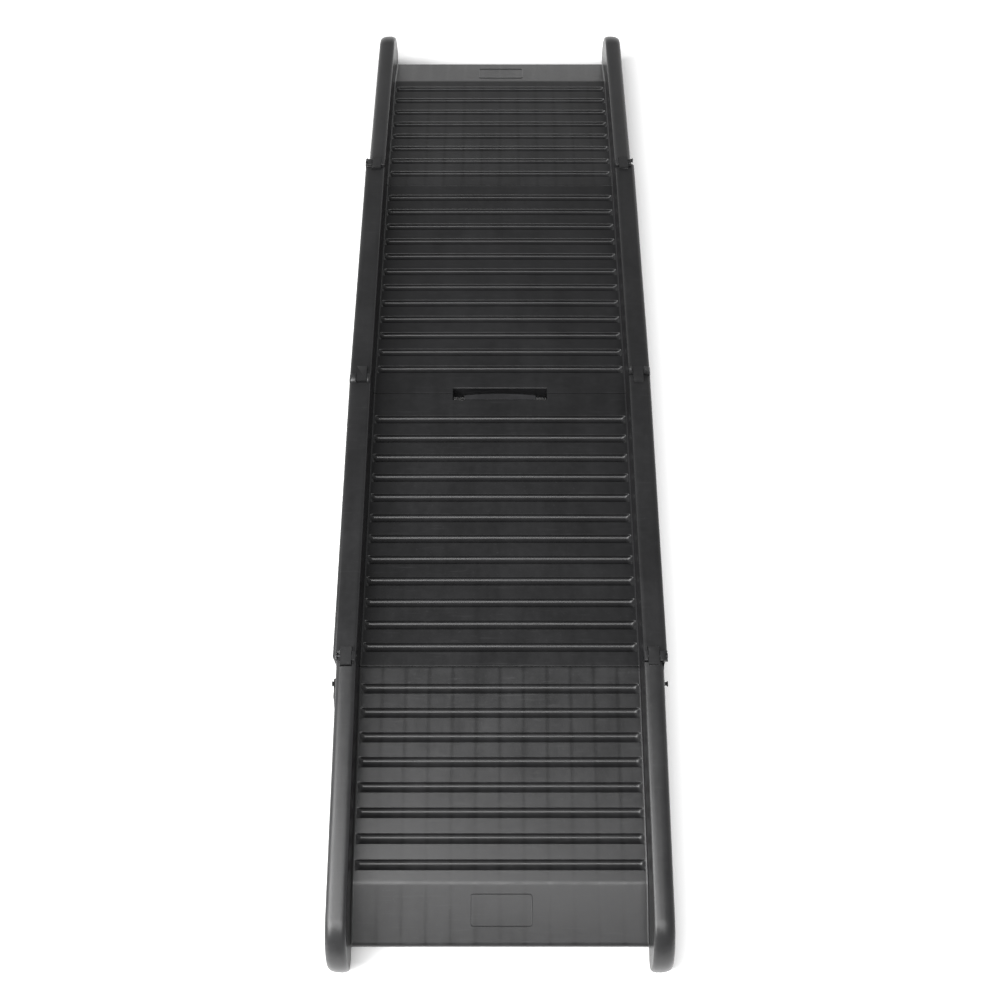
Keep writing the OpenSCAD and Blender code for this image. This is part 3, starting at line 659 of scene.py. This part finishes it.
def copy_of_node(name):
    """A merged bmesh of a CAD node, with its flat faces joined up."""
    bm = bmesh.new()
    bm.from_mesh(frame["nodes"][name].data)
    bmesh.ops.remove_doubles(bm, verts=bm.verts[:], dist=2e-6)
    bmesh.ops.dissolve_limit(bm, angle_limit=math.radians(0.4), verts=bm.verts[:],
                             edges=bm.edges[:])
    return bm


rail_plastic = plastic_material("rail_plastic", (0.010, 0.010, 0.0105), (0.018, 0.018, 0.019),
                                1.2, 0.0, 0.07)
# The end rails take a lighter copy of the same plastic: painted light, standing in for the
# stronger light that the end sections catch.
end_rail_plastic_painted_light = plastic_material("end_rail_plastic_painted_light", (0.012, 0.012, 0.0125),
                                    (0.022, 0.022, 0.023), 1.2, 0.0, 0.07)
for section in ("bottom", "lower", "upper", "top"):
    for side, side_name in ((-1, "left"), (1, "right")):
        node_name = f"{section}_rail_{side_name}"
        rail_bm = copy_of_node(node_name)
        round_rail(rail_bm, section, side)
        bmesh.ops.triangulate(rail_bm, faces=rail_bm.faces[:])
        rail = finish_piece(rail_bm, node_name + "_moulding", Matrix.Identity(4), False)
        # Keeps the broad flat sides flat where the rounded edges run into them
        flats = rail.modifiers.new("flat_sides", "WEIGHTED_NORMAL")
        flats.mode = "FACE_AREA"
        flats.weight = 90
        flats.keep_sharp = True
        is_end = section in END_SECTIONS
        rail.data.materials.append(end_rail_plastic_painted_light if is_end else rail_plastic)
        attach(rail, section + "_section")
        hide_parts(node_name)

# ---- Hinge pins and screws ----
# Steel. The blackened pins are pressed into the forks with their flat heads in the outer
# ears, and the zinc-plated screws are driven from inside the outer rib cells.


def metal_material(name, base, scratch_scale):
    material = bpy.data.materials.new(name)
    material.use_nodes = True
    nodes, links = material.node_tree.nodes, material.node_tree.links
    shader = nodes["Principled BSDF"]
    shader.inputs["Metallic"].default_value = 1.0
    coords = nodes.new("ShaderNodeTexCoord")
    noise = nodes.new("ShaderNodeTexNoise")
    noise.inputs["Scale"].default_value = scratch_scale
    noise.inputs["Detail"].default_value = 5.0
    colours = nodes.new("ShaderNodeValToRGB")
    colours.color_ramp.elements[0].position = 0.35
    colours.color_ramp.elements[0].color = (*[c * 0.6 for c in base], 1.0)
    colours.color_ramp.elements[1].position = 0.7
    colours.color_ramp.elements[1].color = (*base, 1.0)
    rough = nodes.new("ShaderNodeMapRange")
    rough.inputs["To Min"].default_value = 0.25
    rough.inputs["To Max"].default_value = 0.5
    bump = nodes.new("ShaderNodeBump")
    bump.inputs["Strength"].default_value = 0.3
    bump.inputs["Distance"].default_value = 0.05 * MM
    links.new(coords.outputs["Object"], noise.inputs["Vector"])
    links.new(noise.outputs["Fac"], colours.inputs["Fac"])
    links.new(noise.outputs["Fac"], rough.inputs["Value"])
    links.new(noise.outputs["Fac"], bump.inputs["Height"])
    links.new(colours.outputs["Color"], shader.inputs["Base Color"])
    links.new(rough.outputs["Result"], shader.inputs["Roughness"])
    links.new(bump.outputs["Normal"], shader.inputs["Normal"])
    return material


pin_metal = metal_material("blackened_pin", (0.09, 0.09, 0.095), 900.0)
screw_metal = metal_material("screw_zinc", (0.50, 0.50, 0.52), 1400.0)
for node_name, node in frame["nodes"].items():
    if "hinge_pin" in node_name or "screws" in node_name:
        metal = pin_metal if "hinge_pin" in node_name else screw_metal
        node.data.materials.clear()
        node.data.materials.append(metal)

# ---- Carry grip ----
# One stout black bar let into the slot at the middle seam. It is screwed to the lower deck
# from below, and its front edge bows out to fill the palm.


def soften(piece, width, segments):
    bevel = piece.modifiers.new("worn_edges", "BEVEL")
    bevel.width = width
    bevel.segments = segments
    bevel.limit_method = "ANGLE"
    bevel.angle_limit = math.radians(40.0)
    bevel.harden_normals = True


grip_plastic = plastic_material("grip_plastic", (0.012, 0.012, 0.013), (0.026, 0.026, 0.028),
                                1.0, 0.0, 0.05)
grip_bm = copy_of_node("carry_grip")
grip = finish_piece(grip_bm, "carry_grip_moulding", Matrix.Identity(4), False)
soften(grip, 1.2 * MM, 3)
grip.data.materials.append(grip_plastic)
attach(grip, "lower_section")
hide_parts("carry_grip")

# ---- Feet and lip pads ----
# Dull black rubber. A foot plugs into the hollow nose of each end rail, and a ribbed strip
# is glued below each lip, so that neither end slides.


def rubber_material(name, shade, bump_mm):
    material = bpy.data.materials.new(name)
    material.use_nodes = True
    nodes, links = material.node_tree.nodes, material.node_tree.links
    shader = nodes["Principled BSDF"]
    shader.inputs["Specular IOR Level"].default_value = 0.35
    coords = nodes.new("ShaderNodeTexCoord")
    fine = nodes.new("ShaderNodeTexNoise")
    fine.inputs["Scale"].default_value = 1200.0
    broad = nodes.new("ShaderNodeTexNoise")
    broad.inputs["Scale"].default_value = 40.0
    colours = nodes.new("ShaderNodeValToRGB")
    colours.color_ramp.elements[0].position = 0.3
    colours.color_ramp.elements[0].color = (shade * 0.6, shade * 0.6, shade * 0.6, 1.0)
    colours.color_ramp.elements[1].position = 0.75
    colours.color_ramp.elements[1].color = (shade * 1.5, shade * 1.5, shade * 1.5, 1.0)
    rough = nodes.new("ShaderNodeMapRange")
    rough.inputs["To Min"].default_value = 0.6
    rough.inputs["To Max"].default_value = 0.85
    bump = nodes.new("ShaderNodeBump")
    bump.inputs["Strength"].default_value = 0.5
    bump.inputs["Distance"].default_value = bump_mm * MM
    links.new(coords.outputs["Object"], fine.inputs["Vector"])
    links.new(coords.outputs["Object"], broad.inputs["Vector"])
    links.new(broad.outputs["Fac"], colours.inputs["Fac"])
    links.new(broad.outputs["Fac"], rough.inputs["Value"])
    links.new(fine.outputs["Fac"], bump.inputs["Height"])
    links.new(colours.outputs["Color"], shader.inputs["Base Color"])
    links.new(rough.outputs["Result"], shader.inputs["Roughness"])
    links.new(bump.outputs["Normal"], shader.inputs["Normal"])
    return material


foot_rubber = rubber_material("foot_rubber", 0.014, 0.1)
for section in END_SECTIONS:
    for side_name in ("left", "right"):
        node_name = f"{section}_foot_{side_name}"
        foot = finish_piece(copy_of_node(node_name), node_name + "_rubber",
                            Matrix.Identity(4), False)
        soften(foot, 0.6 * MM, 2)
        foot.data.materials.append(foot_rubber)
        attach(foot, section + "_section")
        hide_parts(node_name)

pad_rubber = rubber_material("pad_rubber", 0.012, 0.12)
PAD_LEN = 25.0 * MM
PAD_THICK = 3.0 * MM
for section in END_SECTIONS:
    pad_bm = bmesh.new()
    pad_half = DECK_HALF - 22.0 * MM
    pad_far = LIP_LEN - 3.0 * MM
    add_box(pad_bm, (-pad_half, pad_far - PAD_LEN, -SKIN - 1.8 * MM),
            (pad_half, pad_far, -SKIN + 0.1 * MM))
    ridge_count = 8
    for ridge in range(ridge_count):
        ridge_y = pad_far - PAD_LEN + (ridge + 0.25) * PAD_LEN / ridge_count
        add_box(pad_bm, (-pad_half + MM, ridge_y, -SKIN - PAD_THICK),
                (pad_half - MM, ridge_y + 0.5 * PAD_LEN / ridge_count, -SKIN - 1.6 * MM))
    to_lip = section_matrix(section) @ Matrix.Translation((0, BEND, 0))
    to_lip = to_lip @ Matrix.Rotation(-LIP_ANGLE, 4, "X")
    pad = finish_piece(pad_bm, section + "_lip_pad_rubber", to_lip, OUTWARD[section] < 0)
    soften(pad, 0.3 * MM, 2)
    pad.data.materials.append(pad_rubber)
    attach(pad, section + "_section")
    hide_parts(section + "_lip_pad")

# ---- Latch studs ----
# Push-in black nylon studs on the outer faces of the end rails. A slim neck carries the
# strap's eye, and the head flares to keep it on.

stud_plastic = plastic_material("stud_plastic", (0.008, 0.008, 0.009), (0.018, 0.018, 0.019),
                                0.7, 0.0, 0.03)
STUD_FROM_SEAM = 27.5 * MM
STUD_ABOVE_DECK = 26.0 * MM
STUD_HEAD = 5.1 * MM

# Distance out from the rail's face and radius, in mm, from the hidden shank to the head
STUD_OUTLINE = [(-0.9, 3.0), (-0.1, 3.0), (0.3, 2.6), (0.6, 2.25), (3.3, 2.2), (3.8, 2.5),
                (4.7, 3.3), (5.0, 3.5), (5.2, 3.45), (5.3, 3.2), (5.3, 1.6), (5.1, 1.2)]
for section in END_SECTIONS:
    stud_bm = bmesh.new()
    for side in (-1, 1):
        face_x = DECK_HALF + RAIL_WIDTH[section]
        profile = []
        for along, radius in STUD_OUTLINE:
            x = side * (face_x + along * MM)
            profile.append(stud_bm.verts.new((x, 0.0, radius * MM)))
        profile.append(stud_bm.verts.new((side * (face_x + STUD_HEAD), 0.0, 0.0)))
        edges = [stud_bm.edges.new(pair) for pair in zip(profile, profile[1:])]
        bmesh.ops.spin(stud_bm, geom=profile + edges, cent=(0, 0, 0), axis=(1, 0, 0),
                       angle=2 * math.pi, steps=32, use_merge=True)
    bmesh.ops.remove_doubles(stud_bm, verts=stud_bm.verts[:], dist=1e-6)
    bmesh.ops.holes_fill(stud_bm, edges=stud_bm.edges[:], sides=64)
    bmesh.ops.recalc_face_normals(stud_bm, faces=stud_bm.faces[:])
    stud_at = section_matrix(section) @ Vector((0.0, STUD_FROM_SEAM, STUD_ABOVE_DECK))
    studs = finish_piece(stud_bm, section + "_latch_studs_nylon",
                         Matrix.Translation(stud_at), False)
    studs.data.materials.append(stud_plastic)
    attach(studs, section + "_section")
    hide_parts(section + "_latch_studs")

# ---- Latch strap ----
# A moulded strip of black rubber with an eye at each end. It hangs from the left stud of the
# bottom section and is stretched to the top section's stud when the ramp is folded.

strap_rubber = rubber_material("strap_rubber", 0.010, 0.08)
STRAP_LEN = 78.0 * MM
EYE_R = 6.5 * MM
HOLE_R = 2.28 * MM
RING_SIDES = 40
BAND_HALF = 4.5 * MM
BAND_WAIST = 0.9 * MM
BAND_START = 5.6 * MM
STRAP_THICK = 1.9 * MM
STAND_OFF = 5.4 * MM
END_CURL = 2.6 * MM
strap_low, strap_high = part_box("latch_strap")
strap_x = (strap_low.x + strap_high.x) / 2 - 0.3 * MM
eye_at = Vector((strap_x, joint_at["strap_swing"].y, joint_at["strap_swing"].z))
strap_bm = bmesh.new()
for centre_z in (0.0, -STRAP_LEN):
    outer_ring = bmesh.ops.create_circle(strap_bm, cap_ends=False, radius=EYE_R,
                                         segments=RING_SIDES)["verts"]
    inner_ring = bmesh.ops.create_circle(strap_bm, cap_ends=False, radius=HOLE_R,
                                         segments=RING_SIDES)["verts"]
    both = outer_ring + inner_ring
    ring_edges = list({edge for vert in both for edge in vert.link_edges})
    bmesh.ops.bridge_loops(strap_bm, edges=ring_edges)
    bmesh.ops.transform(strap_bm, verts=both, matrix=Matrix.Translation((0, 0, centre_z))
                        @ Matrix.Rotation(math.radians(90), 4, "Y"))
band = bmesh.ops.create_grid(strap_bm, x_segments=6, y_segments=24, size=0.5)["verts"]
for vert in band:
    along = vert.co.y + 0.5
    half = BAND_HALF - BAND_WAIST * math.sin(math.pi * along)
    vert.co = Vector((0.0, vert.co.x * 2.0 * half,
                      -BAND_START - along * (STRAP_LEN - 2.0 * BAND_START)))
for vert in strap_bm.verts:
    # The free end stands off the rail a little
    along = min(1.0, max(0.0, -vert.co.z / STRAP_LEN))
    vert.co.x -= STAND_OFF * smooth_step(along / 0.55) + END_CURL * smooth_step(2 * along - 1)
made = bmesh.ops.extrude_face_region(strap_bm, geom=strap_bm.faces[:])["geom"]
for item in made:
    if isinstance(item, bmesh.types.BMVert):
        item.co.x += STRAP_THICK
bmesh.ops.translate(strap_bm, verts=strap_bm.verts[:], vec=(-STRAP_THICK / 2, 0, 0))
bmesh.ops.recalc_face_normals(strap_bm, faces=strap_bm.faces[:])
strap = finish_piece(strap_bm, "latch_strap_rubber", Matrix.Translation(eye_at), False)
soften(strap, 0.4 * MM, 2)
strap.data.materials.append(strap_rubber)
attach(strap, "strap")
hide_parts("latch_strap")
